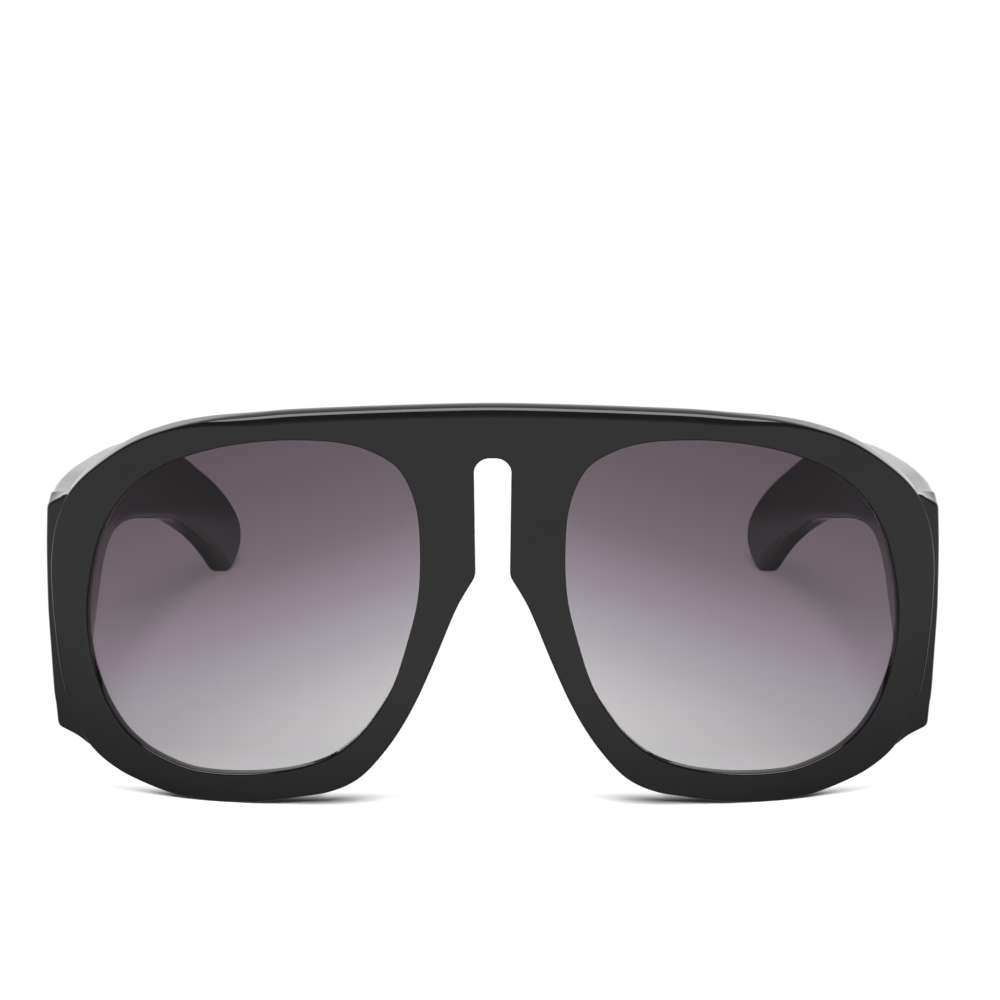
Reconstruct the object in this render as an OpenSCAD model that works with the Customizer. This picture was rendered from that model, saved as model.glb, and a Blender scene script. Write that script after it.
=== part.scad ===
// Oversized sunglasses with a flat-topped shield front, a keyhole slot over the nose, two tinted
// lenses held in grooves, and wide drop temples that fold on five-barrel hinges.
// They stand as when laid down open: on the lower edges of the rims and on the temple tips.
// The front faces -Y, +X is the wearer's left, +Z is up and Z zero is the surface they stand on.
// The origin is on that surface, under the middle of the whole width and depth.

/* [Front] */
// Width of the front over its two end blocks
front_w = 145.9; // [138:0.1:154]
// Height of the front
front_h = 67.95; // [64:0.05:72]
// Thickness of the acetate sheet that the front is cut from
front_t = 4.4; // [4.2:0.1:5.2]
// Radius of the front's curve, seen from above
base_r = 230; // [200:5:300]
// Height of acetate above the keyhole slot
slot_crown = 8.55; // [6:0.05:11]
// Width of the keyhole slot at its top
slot_w = 6; // [5:0.1:7.6]
// Radius of the two corners of the slot's top
slot_corner_r = 2.5; // [1.4:0.1:2.5]
// Width of the keyhole slot at its open lower end
slot_mouth_w = 5.5; // [4.4:0.1:7]
// Radius of the sweep of the brow facet, seen from the front
brow_sweep_r = 204; // [180:2:260]
// Height of the brow facet over the slot
brow_facet = 1.8; // [1:0.1:2.4]

/* [End blocks] */
// How far the end block's front lies behind the front of the rim
block_step = 0.7; // [0.3:0.1:1.2]
// Depth of the end block at its outer edge
block_d = 4.8; // [4.4:0.1:6]

/* [Lenses] */
// Thickness of a lens
lens_t = 1.8; // [1.6:0.1:2]
// Depth of the lens's front surface behind the front of the rim
lens_recess = 1.5; // [1.3:0.1:2.3]
// Height of the tongue round the lens's edge
tongue_h = 0.8; // [0.5:0.1:1]
// Thickness of that tongue
tongue_t = 0.8; // [0.5:0.1:1]

/* [Nose pads] */
// Length of a nose pad
pad_l = 17; // [14:0.5:19]
// Width of a nose pad
pad_w = 3.6; // [3.4:0.1:4.4]
// Height of a nose pad behind the front
pad_h = 5.5; // [4:0.1:7]
// Lean of a nose pad away from upright
pad_lean = 21.5; // [17:0.5:26]
// Radius of the dome of its skin side
pad_dome_r = 12; // [11:0.5:16]

/* [Temples] */
// Length of a temple from the end block to its rearmost point
temple_l = 125; // [120:0.1:128]
// Thickness of a temple
temple_t = 4.4; // [4.2:0.1:5]
// Radius of the temple's inward bow, seen from above
temple_bow_r = 430; // [420:5:600]
// Width of the core wire
wire_w = 2.2; // [1.6:0.1:2.6]
// Thickness of the core wire
wire_t = 1.2; // [0.8:0.1:1.4]

/* [Hinges] */
// Height of the stack of five barrels
hinge_h = 8.75; // [8:0.05:9.5]
// Distance from the top of the end block down to the top barrel
hinge_drop = 1.9; // [1.6:0.1:3]
// Outer radius of a barrel
barrel_r = 1.5; // [1.4:0.05:1.7]
// Radius of the hinge screw's shank
screw_r = 0.7; // [0.6:0.05:0.8]
// Radius of the hinge screw's head
screw_head_r = 1.1; // [1:0.05:1.2]
// Height of the hinge screw's head
screw_head_h = 0.65; // [0.5:0.05:0.8]
// Thickness of a hinge leaf's plate
leaf_t = 0.9; // [0.8:0.05:1.1]
// Reach of the front leaf outwards from the hinge axis
front_leaf_l = 4.1; // [3.9:0.1:4.3]
// Length of the temple leaf behind the barrels
temple_leaf_l = 10.5; // [9:0.5:13]
// Shank radius of the small screws that hold the leaves
leaf_screw_r = 0.6; // [0.5:0.05:0.7]
// Head radius of those screws
leaf_head_r = 1; // [0.9:0.05:1.05]
// Length of those screws
leaf_screw_l = 3; // [2.6:0.1:3.3]
// Distance between the two screws of a leaf
leaf_screw_gap = 4.4; // [3.8:0.1:5]

/* [Fits] */
// Gap between each temple's end and its end block, with the temple open
butt_gap = 0.1; // [0.05:0.05:0.2]
// Radial play of the hinge screw in the barrels
screw_play = 0.02; // [0.01:0.01:0.05]
// Gap between one barrel and the next
barrel_gap = 0.06; // [0.04:0.01:0.1]
// Gap round a turning barrel
swing_gap = 0.1; // [0.1:0.05:0.2]
// Play of a lens in its rim
lens_play = 0.05; // [0.02:0.01:0.08]

/* [Hidden] */
$fn = 96;

// Points worked out between two chosen points of a smooth outline
curve_steps = 4;
// Overrun of every cut past the surface that it leaves
over = 1;
// Barrels in a hinge: the front holds the odd ones and the temple the even ones
barrels = 5;
// Angle of the brow facet to the front face
brow_angle = 45;

half_w = front_w / 2;
// Depth at which the front face lies at a distance x from the middle
function face_y(x) = base_r - sqrt(base_r * base_r - x * x);
// Place where the end blocks end and the temples begin, behind the front's foremost point
seam_y = face_y(half_w) + block_step + block_d;
depth = seam_y + butt_gap + temple_l;

// Outer edge of the rim from the foot of the keyhole slot down, round and up to the top,
// as shares of half the width and of the height
rim_shares = [
    [0.058, 0.55], [0.077, 0.513], [0.098, 0.46], [0.12, 0.4], [0.143, 0.34],
    [0.168, 0.279], [0.197, 0.218], [0.233, 0.157], [0.279, 0.095], [0.319, 0.061],
    [0.369, 0.037], [0.429, 0.023], [0.477, 0.013], [0.522, 0.005], [0.559, 0.002],
    [0.614, -0.001], [0.659, 0], [0.717, 0.009], [0.789, 0.033], [0.848, 0.062],
    [0.9, 0.104], [0.938, 0.162], [0.96, 0.224], [0.975, 0.303], [0.984, 0.397],
    [0.989, 0.503], [0.987, 0.591], [0.973, 0.676], [0.942, 0.748], [0.888, 0.812],
    [0.802, 0.88], [0.713, 0.923], [0.623, 0.949], [0.521, 0.966], [0.411, 0.979],
    [0.206, 0.993], [0, 1]
];
// Height of the slot's foot as a share of the front's height
slot_foot_share = 0.5862;
// Edge of the lens opening, anticlockwise, as shares of the same two sizes
opening_shares = [
    [0.192, 0.41], [0.223, 0.308], [0.264, 0.233], [0.302, 0.181], [0.359, 0.131],
    [0.433, 0.098], [0.523, 0.079], [0.612, 0.073], [0.68, 0.079], [0.739, 0.0995],
    [0.788, 0.1275], [0.833, 0.1715], [0.8715, 0.239], [0.9, 0.331], [0.91, 0.426],
    [0.904, 0.516], [0.884, 0.616], [0.853, 0.697], [0.804, 0.768], [0.74, 0.824],
    [0.66, 0.864], [0.58, 0.889], [0.5, 0.904], [0.42, 0.91], [0.33, 0.906], [0.259, 0.884],
    [0.203, 0.842], [0.169, 0.757], [0.16, 0.646], [0.166, 0.526]
];
// Outline of an end block, seen from the front, as shares of the same two sizes
block_shares = [
    [0.906, 0.109], [0.917, 0.116], [0.934, 0.129], [0.951, 0.14], [0.985, 0.154],
    [0.9885, 0.207], [0.9925, 0.244], [0.9965, 0.347], [1, 0.449], [0.9985, 0.598],
    [0.9945, 0.718], [0.985, 0.724], [0.949, 0.743], [0.893, 0.75], [0.893, 0.588],
    [0.9, 0.553], [0.919, 0.489], [0.923, 0.376], [0.907, 0.268], [0.9, 0.176]
];
// Height of the end block's top corner as a share of the front's height
block_top_share = 0.7175;
block_top = front_h * block_top_share;

// Side view of a temple from the top of its front end over the tip to the lower front corner,
// as shares of the temple's length and of the end block's top height
temple_shares = [
    [0, 1.009], [0.03, 0.999], [0.086, 0.983], [0.191, 0.954], [0.34, 0.9], [0.47, 0.849],
    [0.585, 0.792], [0.669, 0.724], [0.76, 0.604], [0.816, 0.524], [0.869, 0.447],
    [0.912, 0.379], [0.946, 0.316], [0.973, 0.254], [0.991, 0.197], [0.999, 0.147],
    [1, 0.104], [0.995, 0.06], [0.984, 0.02], [0.966, 0], [0.948, 0.02], [0.93, 0.056],
    [0.9, 0.112], [0.856, 0.19], [0.803, 0.272], [0.732, 0.364], [0.684, 0.415],
    [0.634, 0.454], [0.586, 0.487], [0.5, 0.55], [0.419, 0.596], [0.373, 0.611],
    [0.328, 0.617], [0.293, 0.605], [0.264, 0.583], [0.238, 0.551], [0.201, 0.475],
    [0.154, 0.382], [0.104, 0.264], [0.053, 0.225], [0, 0.216]
];
// Middle line of the core wire, as shares of the same two sizes
wire_shares = [
    [0, 0.719], [0.142, 0.768], [0.326, 0.776], [0.463, 0.717], [0.59, 0.637],
    [0.723, 0.506], [0.825, 0.358], [0.9, 0.218]
];
// Place of the middle of a nose pad, as shares of half the width and of the height
pad_shares = [0.1605, 0.371];

// Sheet positions in the rim, counted back from its front face
lens_back = lens_recess + lens_t;
tongue_near = lens_recess + (lens_t - tongue_t) / 2;
tongue_far = tongue_near + tongue_t;

// Keyhole slot
slot_eye_z = front_h - slot_crown - slot_corner_r;
slot_corner_x = slot_w / 2 - slot_corner_r;
slot_foot_z = front_h * slot_foot_share;

// Hinge axis: the barrels stand half sunk in the temple's inner side, just behind the seam
temple_y = seam_y + butt_gap;
temple_in_x = half_w - temple_t;
barrel_room = 0.4;
axis_x = temple_in_x + leaf_t - barrel_room - barrel_r;
axis_y = seam_y + swing_gap + barrel_r;
hinge_top = block_top - hinge_drop;
hinge_foot = hinge_top - hinge_h;
hinge_mid = (hinge_top + hinge_foot) / 2;
pitch = hinge_h / barrels;
bore_r = screw_r + screw_play;
leaf_y = axis_y + barrel_r + swing_gap;
leaf_end_y = leaf_y + temple_leaf_l;
leaf_head_h = leaf_head_r - leaf_screw_r;
front_screw_x = axis_x + barrel_r + (front_leaf_l - barrel_r) / 2;
temple_screw_y = (leaf_y + leaf_end_y) / 2;
// Longest round tool that the curved sheets are cut with, past every part of the glasses
tool_h = 2 * front_h + 2 * over;

// Point at share t between b and c on the smooth curve that runs through a, b, c and d
function between(a, b, c, d, t) =
    (2 * b + (c - a) * t + (2 * a - 5 * b + 4 * c - d) * t * t
    + (3 * b - a - 3 * c + d) * t * t * t) / 2;
// Item i of a closed list
function item(p, i) = p[(i + len(p)) % len(p)];
// Chosen shares turned into places
function places(shares, w, h) = [for (s = shares) [s[0] * w, s[1] * h]];
// Smooth closed line through the points
function ring(p) = [
    for (i = [0 : len(p) - 1], s = [0 : curve_steps - 1])
        between(item(p, i - 1), p[i], item(p, i + 1), item(p, i + 2), s / curve_steps)
];
// Smooth open line through the points, with its two ends
function run(p) =
    let (n = len(p), q = concat([2 * p[0] - p[1]], p, [2 * p[n - 1] - p[n - 2]]))
    concat(
        [for (i = [1 : n - 1], s = [0 : curve_steps - 1])
            between(q[i - 1], q[i], q[i + 1], q[i + 2], s / curve_steps)],
        [p[n - 1]]
    );
// Closed anticlockwise line moved outwards by d
function widened(p, d) = [
    for (i = [0 : len(p) - 1])
        let (v = item(p, i + 1) - item(p, i - 1))
        p[i] + d * [v[1], -v[0]] / norm(v)
];
// Open line moved sideways by d, to the right of its direction
function beside(p, d) = [
    for (i = [0 : len(p) - 1])
        let (v = p[min(i + 1, len(p) - 1)] - p[max(i - 1, 0)])
        p[i] + d * [v[1], -v[0]] / norm(v)
];
function mirrored(p) = [for (i = [len(p) - 1 : -1 : 0]) [-p[i][0], p[i][1]]];

opening_line = ring(places(opening_shares, half_w, front_h));
rim_half = concat(
    [[slot_mouth_w / 2, slot_foot_z]],
    run(places(rim_shares, half_w, front_h))
);
temple_line = run(places(temple_shares, temple_l, block_top));
wire_line = run(places(wire_shares, temple_l, block_top));

// Everything is drawn with the front's foremost point at Y zero, then set on the origin
module placed() {
    translate([0, -depth / 2, 0]) children();
}

// The same piece on the wearer's right
module right_side() {
    mirror([1, 0, 0]) children();
}

// A drawing in X and Z, made solid between two depths
module along_y(y0, y1) {
    translate([0, y1, 0]) rotate([90, 0, 0]) linear_extrude(y1 - y0) children();
}

// A drawing in Y and Z, made solid between two places on X
module along_x(x0, x1) {
    translate([x0, 0, 0]) rotate([90, 0, 90]) linear_extrude(x1 - x0) children();
}

// A round bar along Y
module bar_y(r, y0, y1) {
    translate([0, y1, 0]) rotate([90, 0, 0]) cylinder(r = r, h = y1 - y0);
}

// The space behind the front face moved back by d
module behind_face(d) {
    translate([0, base_r, -over]) cylinder(r = base_r - d, h = tool_h, $fn = 360);
}

// The curved sheet between two depths behind the front face
module sheet(near, far) {
    difference() {
        behind_face(near);
        translate([0, 0, -over]) behind_face(far);
        translate([0, 0, over]) behind_face(far);
    }
}

// The bowed sheet that a temple is cut from, between two depths under its outer face
module bowed_sheet(near, far) {
    translate([half_w - temple_bow_r, seam_y, 0]) difference() {
        translate([0, 0, -over]) cylinder(r = temple_bow_r - near, h = tool_h, $fn = 360);
        translate([0, 0, -2 * over]) cylinder(r = temple_bow_r - far, h = tool_h + 2 * over, $fn = 360);
    }
}

// The front's outline with the keyhole slot
module front_drawing() {
    difference() {
        polygon(concat(rim_half, mirrored(rim_half)));
        slot_drawing();
    }
}

module slot_drawing() {
    polygon([
        [-slot_mouth_w / 2, slot_foot_z - over], [slot_mouth_w / 2, slot_foot_z - over],
        [slot_mouth_w / 2, slot_foot_z], [slot_w / 2, slot_eye_z],
        [-slot_w / 2, slot_eye_z], [-slot_mouth_w / 2, slot_foot_z]
    ]);
    translate([-slot_corner_x, slot_eye_z]) square([2 * slot_corner_x, slot_corner_r]);
    for (side = [-1, 1])
        translate([side * slot_corner_x, slot_eye_z]) circle(r = slot_corner_r);
}

// The space under the brow facet: a wide cylinder that leans back
module under_brow() {
    translate([0, 0, front_h - brow_facet])
        rotate([brow_angle - 90, 0, 0])
            translate([0, brow_sweep_r, -tool_h])
                cylinder(r = brow_sweep_r, h = 2 * tool_h, $fn = 360);
}

module front_blank() {
    intersection() {
        along_y(-over, seam_y) front_drawing();
        sheet(0, front_t);
        translate([-front_w, -over, 0]) cube([2 * front_w, depth, 2 * front_h]);
    }
}

// Both screws of a front leaf, or their holes
module front_leaf_screw_pair(head_l) {
    for (side = [-1, 1]) {
        translate([front_screw_x, 0, hinge_mid + side * leaf_screw_gap / 2]) {
            bar_y(leaf_screw_r, seam_y - leaf_screw_l, seam_y);
            translate([0, seam_y, 0]) rotate([90, 0, 0])
                cylinder(r1 = leaf_head_r, r2 = leaf_screw_r, h = leaf_head_h);
        }
    }
}

module front_frame() {
    color([0.09, 0.09, 0.095]) placed() difference() {
        intersection() {
            front_blank();
            under_brow();
        }
        for (side = [0, 1]) {
            mirror([side, 0, 0]) {
                along_y(-over, seam_y) polygon(opening_line);
                intersection() {
                    along_y(-over, seam_y) polygon(widened(opening_line, tongue_h + lens_play));
                    sheet(tongue_near - lens_play, tongue_far + lens_play);
                }
                front_leaf_screw_pair();
            }
        }
    }
}

module end_block() {
    color([0.09, 0.09, 0.095]) placed() difference() {
        intersection() {
            along_y(0, seam_y) polygon(places(block_shares, half_w, front_h));
            behind_face(block_step);
        }
        intersection() {
            along_y(-over, 2 * seam_y) front_drawing();
            sheet(-over, front_t);
        }
        front_leaf_plate(over);
        front_leaf_screw_pair();
    }
}

module left_end_block() {
    end_block();
}

module right_end_block() {
    right_side() end_block();
}

// A lens: a curved sheet with a tongue round its edge
module lens() {
    color([0.35, 0.31, 0.36, 0.6]) placed() union() {
        intersection() {
            along_y(-over, seam_y) polygon(widened(opening_line, -lens_play));
            sheet(lens_recess, lens_back);
        }
        intersection() {
            along_y(-over, seam_y) polygon(widened(opening_line, tongue_h));
            sheet(tongue_near, tongue_far);
        }
    }
}

module left_lens() {
    lens();
}

module right_lens() {
    right_side() lens();
}

// A nose pad: a slim oval with a domed skin side, glued to the back of the front
module nose_pad() {
    pad_x = pad_shares[0] * half_w;
    pad_z = pad_shares[1] * front_h;
    pad_base_y = face_y(pad_x) + front_t;
    oval = [for (a = [0 : 15 : 345]) [pad_w / 2 * cos(a), pad_l / 2 * sin(a)]];
    color([0.11, 0.11, 0.115]) placed() intersection() {
        along_y(0, pad_base_y + pad_h)
            translate([pad_x, pad_z]) rotate(pad_lean) polygon(oval);
        translate([pad_x, pad_base_y + pad_h - pad_dome_r, pad_z]) sphere(r = pad_dome_r);
        behind_face(front_t);
    }
}

module left_nose_pad() {
    nose_pad();
}

module right_nose_pad() {
    right_side() nose_pad();
}

// The core wire: a flat strip that follows the temple's bow and drop
module wire_body() {
    intersection() {
        along_x(0, half_w) translate([temple_y, 0])
            polygon(concat(beside(wire_line, -wire_w / 2), wire_back(wire_line)));
        bowed_sheet((temple_t - wire_t) / 2, (temple_t + wire_t) / 2);
        translate([0, temple_y, 0]) cube([half_w, depth, front_h]);
    }
}

// The wire's lower edge, run backwards to close its drawing
function wire_back(p) =
    let (q = beside(p, wire_w / 2))
    [for (i = [len(q) - 1 : -1 : 0]) q[i]];

// Both screws of a temple leaf, or their holes
module temple_leaf_screw_pair() {
    for (side = [-1, 1]) {
        translate([temple_in_x, temple_screw_y + side * leaf_screw_gap / 2, hinge_mid])
            rotate([0, 90, 0]) {
                cylinder(r = leaf_screw_r, h = leaf_screw_l);
                cylinder(r1 = leaf_head_r, r2 = leaf_screw_r, h = leaf_head_h);
            }
    }
}

module temple() {
    color([0.09, 0.09, 0.095]) placed() difference() {
        intersection() {
            along_x(0, half_w + over) translate([temple_y, 0]) polygon(temple_line);
            bowed_sheet(0, temple_t);
            cube([2 * half_w, 2 * depth, 2 * front_h]);
        }
        translate([temple_in_x - 2 * over, temple_y - over, hinge_foot])
            cube([leaf_t + 2 * over, leaf_end_y - temple_y + over, hinge_h]);
        wire_body();
        temple_leaf_screw_pair();
    }
}

module left_temple() {
    temple();
}

module right_temple() {
    right_side() temple();
}

module left_core_wire() {
    color("silver") placed() wire_body();
}

module right_core_wire() {
    right_side() left_core_wire();
}

// One barrel of the hinge, counted from the lowest, with half the gap left at each end
module barrel(i) {
    translate([axis_x, axis_y, hinge_foot + i * pitch + barrel_gap / 2])
        cylinder(r = barrel_r, h = pitch - barrel_gap);
}

// The plate of the front leaf, flush in the end block's back
module front_leaf_plate(extra = 0) {
    translate([axis_x - barrel_r - extra, seam_y - leaf_t, hinge_foot])
        cube([barrel_r + front_leaf_l + extra, leaf_t + extra, hinge_h]);
}

module hinge_bore() {
    translate([axis_x, axis_y, hinge_foot - over]) cylinder(r = bore_r, h = hinge_h + 2 * over);
    translate([axis_x, axis_y, hinge_top - barrel_gap / 2 - screw_head_h])
        cylinder(r = screw_head_r + screw_play, h = screw_head_h + over);
}

module front_leaf() {
    color([0.62, 0.6, 0.56]) placed() difference() {
        union() {
            front_leaf_plate();
            for (i = [0 : 2 : barrels - 1]) {
                barrel(i);
                translate([axis_x - barrel_r, seam_y - leaf_t, hinge_foot + i * pitch + barrel_gap / 2])
                    cube([2 * barrel_r, leaf_t + swing_gap + barrel_r, pitch - barrel_gap]);
            }
        }
        hinge_bore();
        front_leaf_screw_pair();
    }
}

module left_front_leaf() {
    front_leaf();
}

module right_front_leaf() {
    right_side() front_leaf();
}

module temple_leaf() {
    color([0.62, 0.6, 0.56]) placed() difference() {
        union() {
            translate([temple_in_x, leaf_y, hinge_foot])
                cube([leaf_t, temple_leaf_l, hinge_h]);
            for (i = [1 : 2 : barrels - 1]) {
                barrel(i);
                translate([axis_x, axis_y, hinge_foot + i * pitch + barrel_gap / 2])
                    cube([temple_in_x + leaf_t - axis_x, leaf_y - axis_y + leaf_t, pitch - barrel_gap]);
            }
        }
        hinge_bore();
        temple_leaf_screw_pair();
    }
}

module left_temple_leaf() {
    temple_leaf();
}

module right_temple_leaf() {
    right_side() temple_leaf();
}

module hinge_screw() {
    slit_w = screw_head_r / 3;
    head_top = hinge_top - barrel_gap / 2;
    color("gold") placed() translate([axis_x, axis_y, 0]) difference() {
        union() {
            translate([0, 0, hinge_foot + barrel_gap])
                cylinder(r = screw_r, h = head_top - hinge_foot - barrel_gap);
            translate([0, 0, head_top - screw_head_h]) cylinder(r = screw_head_r, h = screw_head_h);
        }
        translate([-screw_head_r - over, -slit_w / 2, head_top - screw_head_h / 2])
            cube([2 * screw_head_r + 2 * over, slit_w, over]);
    }
}

module left_hinge_screw() {
    hinge_screw();
}

module right_hinge_screw() {
    right_side() hinge_screw();
}

module left_front_leaf_screws() {
    color("gold") placed() front_leaf_screw_pair();
}

module right_front_leaf_screws() {
    right_side() left_front_leaf_screws();
}

module left_temple_leaf_screws() {
    color("gold") placed() temple_leaf_screw_pair();
}

module right_temple_leaf_screws() {
    right_side() left_temple_leaf_screws();
}

front_frame();
left_end_block();
right_end_block();
left_lens();
right_lens();
left_nose_pad();
right_nose_pad();
left_temple();
right_temple();
left_core_wire();
right_core_wire();
left_front_leaf();
right_front_leaf();
left_temple_leaf();
right_temple_leaf();
left_hinge_screw();
right_hinge_screw();
left_front_leaf_screws();
right_front_leaf_screws();
left_temple_leaf_screws();
right_temple_leaf_screws();
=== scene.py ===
import bmesh
import bpy
import numpy as np
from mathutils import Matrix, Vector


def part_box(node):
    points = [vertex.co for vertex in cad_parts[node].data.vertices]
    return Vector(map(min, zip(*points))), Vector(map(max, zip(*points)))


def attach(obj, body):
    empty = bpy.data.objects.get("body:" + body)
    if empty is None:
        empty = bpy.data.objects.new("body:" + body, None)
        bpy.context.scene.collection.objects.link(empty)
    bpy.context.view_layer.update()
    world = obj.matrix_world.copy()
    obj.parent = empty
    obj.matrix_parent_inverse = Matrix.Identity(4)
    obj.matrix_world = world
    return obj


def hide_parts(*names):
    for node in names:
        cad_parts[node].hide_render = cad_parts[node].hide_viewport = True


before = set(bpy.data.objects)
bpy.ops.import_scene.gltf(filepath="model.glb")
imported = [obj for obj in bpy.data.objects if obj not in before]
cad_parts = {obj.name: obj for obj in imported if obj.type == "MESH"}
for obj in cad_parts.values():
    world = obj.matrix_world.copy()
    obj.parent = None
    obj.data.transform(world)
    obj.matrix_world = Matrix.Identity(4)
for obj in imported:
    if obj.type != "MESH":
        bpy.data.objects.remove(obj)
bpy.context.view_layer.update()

# The front: one sheet of black cellulose acetate, pressed to a shallow curve and milled with two
# lens openings and a keyhole slot over the nose. Its edges are rounded on the polishing wheel,
# most of all along the brow, and it carries everything else.
MM = 0.001
# Half the width over the end blocks, the front's height and the depth of its foremost line
half_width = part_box("left_end_block")[1][0]
front_height = 67.95 * MM
front_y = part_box("front_frame")[0][1]
sheet_thick = 4.4 * MM
base_radius = 230 * MM
slot_half = 3.0 * MM
slot_corner = 2.5 * MM
slot_mouth_half = 2.75 * MM
slot_crown = 8.55 * MM
slot_foot_share = 0.5862
slot_foot_round = 0.8 * MM
edge_round = 0.45 * MM
back_round = 0.6 * MM
brow_round = 1.95 * MM
brow_back_round = 1.9 * MM
# The brow's rounding is full as far as the first of these from the middle, and gone at the second
brow_full, brow_gone = 36 * MM, 54 * MM
opening_round = 0.45 * MM
# Depth of the opening's wall, and how far the opening flares from there to the back face
wall_depth = 1.9 * MM
back_flare = 2.2 * MM
# Distance between points of the outline, steps between two points of each drawing, and the
# quarter turn that rounds an edge
outline_step = 0.7 * MM
outline_steps, opening_steps = 24, 32
quarter_turn = np.radians(np.linspace(0, 90, 8))
# Places between two rounds, from 0 to 1: across a face, the outer edge, the flare and the wall
face_places = [0.015, *np.linspace(0.08, 0.92, 9), 0.985]
edge_places = (0.25, 0.5, 0.75)
flare_places = np.linspace(0, 1, 9)
wall_places = (0.33, 0.67)
# Points down the middle plane, where the two halves of the front meet
middle_count = 12
# The opening's edge is paired with the outline by rays. The turn from ray to ray is the mean over
# this many neighbours each way, and at least this share of the mean turn
pair_blur = 5
least_turn_share = 0.25
# Edges that bend by more than this, in radians, stay crisp
crease_angle = 0.9
# Points nearer to each other than the first are welded, and a point nearer to a plane than the
# second lies on it
weld_reach, plane_reach = 2e-6, 1e-8
# The range that a noise texture mostly keeps to
noise_low, noise_high = 0.3, 0.7
# Outer edge from the foot of the slot down, round and up to the top, as shares of half the width
# and of the height
rim_shares = [
    (0.058, 0.5501), (0.0768, 0.513), (0.0978, 0.4599), (0.1198, 0.3998), (0.1427, 0.3396),
    (0.1677, 0.2785), (0.1966, 0.2184), (0.2325, 0.1573), (0.2794, 0.0951), (0.319, 0.061),
    (0.369, 0.0374), (0.429, 0.0233), (0.477, 0.0134), (0.522, 0.005), (0.559, 0.0018),
    (0.614, -0.001), (0.659, 0.0004), (0.717, 0.0092), (0.789, 0.0334), (0.848, 0.0617),
    (0.9, 0.1041), (0.938, 0.1622), (0.96, 0.2243), (0.975, 0.3035), (0.984, 0.3968),
    (0.989, 0.503), (0.987, 0.5912), (0.973, 0.6763), (0.942, 0.7484), (0.888, 0.8116),
    (0.802, 0.8801), (0.7125, 0.9227), (0.6227, 0.9486), (0.521, 0.9656), (0.411, 0.9792),
    (0.2056, 0.9934), (0, 1),
]
# Edge of a lens opening, anticlockwise from the nose side, as shares of the same sizes
opening_shares = [
    (0.192, 0.4098), (0.223, 0.3083), (0.264, 0.2332), (0.302, 0.1811), (0.359, 0.1309),
    (0.433, 0.0981), (0.523, 0.079), (0.612, 0.073), (0.68, 0.079), (0.739, 0.0995),
    (0.788, 0.1276), (0.833, 0.1717), (0.8715, 0.2394), (0.9, 0.3306), (0.91, 0.4259),
    (0.904, 0.516), (0.884, 0.6162), (0.853, 0.6965), (0.804, 0.7685), (0.74, 0.8236),
    (0.66, 0.8638), (0.58, 0.8888), (0.5, 0.9038), (0.42, 0.9099), (0.33, 0.9058),
    (0.259, 0.8838), (0.203, 0.8417), (0.169, 0.7566), (0.16, 0.6463), (0.166, 0.526),
]
# Where the rays that pair the opening's edge with the outer edge start
ray_share = (0.495, 0.728)


def on_front(shares):
    """Shares of half the width and of the height, turned into X and Z."""
    return np.array(shares) * [half_width, front_height]


def smooth(points, steps, closed=False):
    """Catmull-Rom line: between two points a cubic whose slope at each end is half the step
    between that point's neighbours. An open line keeps its last point."""
    p = np.asarray(points, float)
    if closed:
        a, b, c, d = np.roll(p, 1, 0), p, np.roll(p, -1, 0), np.roll(p, -2, 0)
    else:
        q = np.vstack([2 * p[0] - p[1], p, 2 * p[-1] - p[-2]])
        a, b, c, d = q[:-3], q[1:-2], q[2:-1], q[3:]
    t = np.linspace(0, 1, steps, endpoint=False)[None, :, None]
    a, b, c, d = (v[:, None, :] for v in (a, b, c, d))
    curve = (2 * b + (c - a) * t + (2 * a - 5 * b + 4 * c - d) * t**2
             + (3 * b - a - 3 * c + d) * t**3) / 2
    curve = curve.reshape(-1, p.shape[1])
    return curve if closed else np.vstack([curve, p[-1]])


def stations(line, count):
    """A line's points at equal steps along its length, both ends kept."""
    run = np.append(0, np.cumsum(np.linalg.norm(np.diff(line, axis=0), axis=1)))
    at = np.linspace(0, run[-1], count)
    return np.stack([np.interp(at, run, line[:, k]) for k in range(line.shape[1])], 1)


def by_step(line, step):
    """The same with about one point each step."""
    length = np.linalg.norm(np.diff(line, axis=0), axis=1).sum()
    return stations(line, max(3, int(round(length / step)) + 1))


def right_normals(line, closed):
    """Unit vector to the right of a line's direction at each point, from its two neighbours."""
    if closed:
        v = np.roll(line, -1, 0) - np.roll(line, 1, 0)
    else:
        v = np.gradient(line, axis=0)
    n = np.stack([v[:, 1], -v[:, 0]], 1)
    return n / np.linalg.norm(n, axis=1, keepdims=True)


def face_y(x, back=0.0):
    """Depth of the curved sheet at x, back metres under its front face: the near side of a
    circle about the centre of the base curve."""
    return front_y + base_radius - np.sqrt((base_radius - back) ** 2 - x**2)


def ring_quads(rows, cols, close_rows=False, close_cols=False):
    """Corner numbers of the four-sided faces of a grid whose points run row by row."""
    r = np.arange(rows if close_rows else rows - 1)[:, None]
    c = np.arange(cols if close_cols else cols - 1)[None, :]
    r2, c2 = (r + 1) % rows, (c + 1) % cols
    return np.stack([r * cols + c, r * cols + c2, r2 * cols + c2, r2 * cols + c], -1).reshape(-1, 4)


def piece_of(line, start, end):
    """The part of a line that is left when start and end metres are cut off its ends."""
    run = np.append(0, np.cumsum(np.linalg.norm(np.diff(line, axis=0), axis=1)))
    ends = [np.interp([at], run, line[:, k]) for at in (start, run[-1] - end) for k in (0, 1)]
    inside = line[(run > start) & (run < run[-1] - end)]
    return np.vstack([np.hstack(ends[:2]), inside, np.hstack(ends[2:])])


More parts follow.
